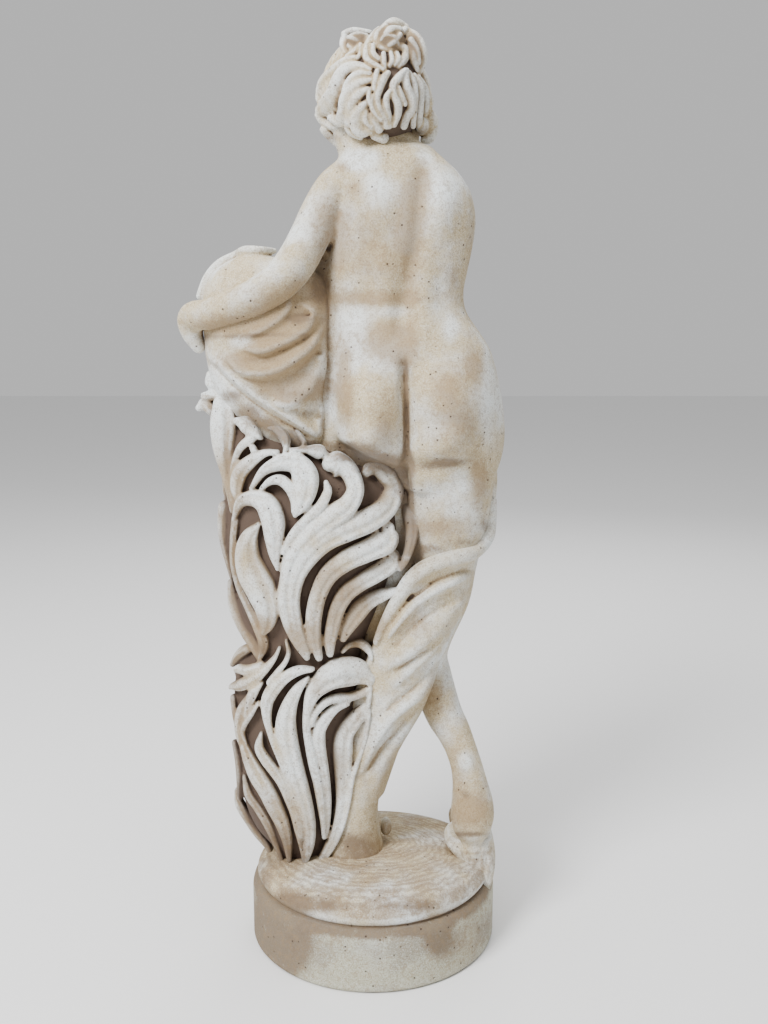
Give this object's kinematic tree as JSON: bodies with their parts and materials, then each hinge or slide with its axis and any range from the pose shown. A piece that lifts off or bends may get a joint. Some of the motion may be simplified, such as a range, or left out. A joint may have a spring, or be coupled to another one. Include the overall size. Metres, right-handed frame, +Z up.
{
  "type": "water bearer statue",
  "caption": "Cast-stone garden statue of a standing water bearer, leaning on a draped vessel over a pillar of curling leaves, with its round plinth.",
  "frame": {"origin": "middle of the plinth's flat underside", "axes": "+Z up along the figure, -Y to the figure's front, +X to the figure's left, where the vessel stands"},
  "size_m": [0.4373, 0.35, 1.2464],
  "materials": {
    "stone": "matt cast stone, pale cream with grey-brown patina in the hollows"
  },
  "bodies": {
    "root": {"statue": "stone"}
  },
  "joints": []
}
